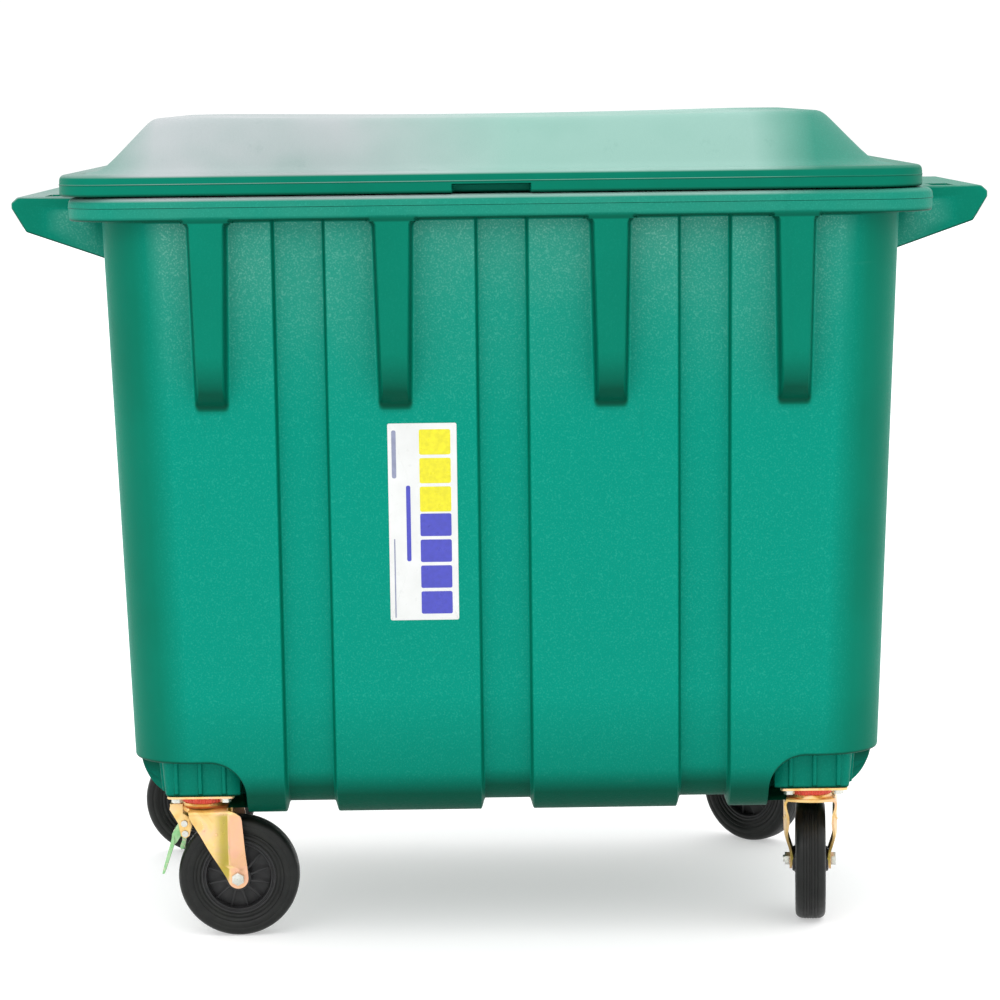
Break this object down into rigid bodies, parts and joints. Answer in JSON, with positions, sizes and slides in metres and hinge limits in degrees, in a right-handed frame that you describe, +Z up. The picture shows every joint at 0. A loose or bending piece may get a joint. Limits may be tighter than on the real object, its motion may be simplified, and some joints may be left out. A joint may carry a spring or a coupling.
{
  "type": "wheeled waste container",
  "caption": "Large waste container on swivel castors: tapered hollow tub with lifting wings, a hinged domed lid and a foot brake.",
  "frame": {"origin": "on the floor under the middle of the whole object's outline", "axes": "+X to the container's right along its length, +Y to the back where the lid is hinged, +Z up"},
  "size_m": [1.594, 1.112, 1.348],
  "materials": {
    "green_plastic": "fine grained, lightly scuffed",
    "label_film": "satin film",
    "zinc_yellow": "yellow passivated zinc",
    "bright_steel": "bright zinc",
    "bearing_steel": "polished",
    "seal_red": "semi-gloss",
    "black_plastic": "moulded",
    "rubber": "matt",
    "brake_green": "chipped paint"
  },
  "bodies": {
    "container": {"tub": "green_plastic", "label": "label_film", "hinge_pins": "bright_steel", "king_pins": "bright_steel", "plate_bolts": "bright_steel", "plate_front_left": "zinc_yellow", "plate_front_right": "zinc_yellow", "plate_back_left": "zinc_yellow", "plate_back_right": "zinc_yellow"},
    "lid": {"lid": "green_plastic"},
    "swivel_front_left": {"dust_ring_front_left": "seal_red", "balls_front_left": "bearing_steel", "fork_front_left": "zinc_yellow", "axle_bolt_front_left": "bright_steel", "axle_nut_front_left": "bright_steel", "sleeve_front_left": "bright_steel", "brake_bracket": "zinc_yellow", "brake_pins": "bright_steel"},
    "wheel_front_left": {"wheel_centre_front_left": "black_plastic", "tyre_front_left": "rubber"},
    "swivel_front_right": {"dust_ring_front_right": "seal_red", "balls_front_right": "bearing_steel", "fork_front_right": "zinc_yellow", "axle_bolt_front_right": "bright_steel", "axle_nut_front_right": "bright_steel", "sleeve_front_right": "bright_steel"},
    "wheel_front_right": {"wheel_centre_front_right": "black_plastic", "tyre_front_right": "rubber"},
    "swivel_back_left": {"dust_ring_back_left": "seal_red", "balls_back_left": "bearing_steel", "fork_back_left": "zinc_yellow", "axle_bolt_back_left": "bright_steel", "axle_nut_back_left": "bright_steel", "sleeve_back_left": "bright_steel"},
    "wheel_back_left": {"wheel_centre_back_left": "black_plastic", "tyre_back_left": "rubber"},
    "swivel_back_right": {"dust_ring_back_right": "seal_red", "balls_back_right": "bearing_steel", "fork_back_right": "zinc_yellow", "axle_bolt_back_right": "bright_steel", "axle_nut_back_right": "bright_steel", "sleeve_back_right": "bright_steel"},
    "wheel_back_right": {"wheel_centre_back_right": "black_plastic", "tyre_back_right": "rubber"},
    "brake_pedal": {"brake_pedal": "brake_green"},
    "brake_shoe": {"brake_shoe": "brake_green"}
  },
  "joints": [
    {"name": "lid_hinge", "type": "hinge", "parent": "container", "child": "lid", "pos_m": [0, 0.542, 1.24], "axis": [-1, 0, 0], "range_deg": [0, 240]},
    {"name": "swivel_front_left", "type": "hinge", "parent": "container", "child": "swivel_front_left", "pos_m": [-0.502, -0.334, 0.21], "axis": [0, 0, 1], "continuous": true},
    {"name": "spin_front_left", "type": "hinge", "parent": "swivel_front_left", "child": "wheel_front_left", "pos_m": [-0.446, -0.334, 0.1], "axis": [0, 1, 0], "continuous": true},
    {"name": "swivel_front_right", "type": "hinge", "parent": "container", "child": "swivel_front_right", "pos_m": [0.502, -0.334, 0.21], "axis": [0, 0, 1], "continuous": true},
    {"name": "spin_front_right", "type": "hinge", "parent": "swivel_front_right", "child": "wheel_front_right", "pos_m": [0.50688, -0.27821, 0.1], "axis": [-0.9962, 0.0872, 0], "continuous": true},
    {"name": "swivel_back_left", "type": "hinge", "parent": "container", "child": "swivel_back_left", "pos_m": [-0.502, 0.296, 0.21], "axis": [0, 0, 1], "continuous": true},
    {"name": "spin_back_left", "type": "hinge", "parent": "swivel_back_left", "child": "wheel_back_left", "pos_m": [-0.558, 0.296, 0.1], "axis": [0, 1, 0], "continuous": true},
    {"name": "swivel_back_right", "type": "hinge", "parent": "container", "child": "swivel_back_right", "pos_m": [0.502, 0.296, 0.21], "axis": [0, 0, 1], "continuous": true},
    {"name": "spin_back_right", "type": "hinge", "parent": "swivel_back_right", "child": "wheel_back_right", "pos_m": [0.45974, 0.33274, 0.1], "axis": [-0.6561, -0.7547, 0], "continuous": true},
    {"name": "brake_pedal", "type": "hinge", "parent": "swivel_front_left", "child": "brake_pedal", "pos_m": [-0.534, -0.334, 0.19], "axis": [0, 1, 0], "range_deg": [0, 35]},
    {"name": "brake_shoe", "type": "hinge", "parent": "swivel_front_left", "child": "brake_shoe", "pos_m": [-0.533, -0.334, 0.173], "axis": [0, 1, 0], "range_deg": [0, 8.75]}
  ],
  "couplings": [
    {"joint": "brake_shoe", "follows": "brake_pedal", "ratio": 0.25}
  ]
}
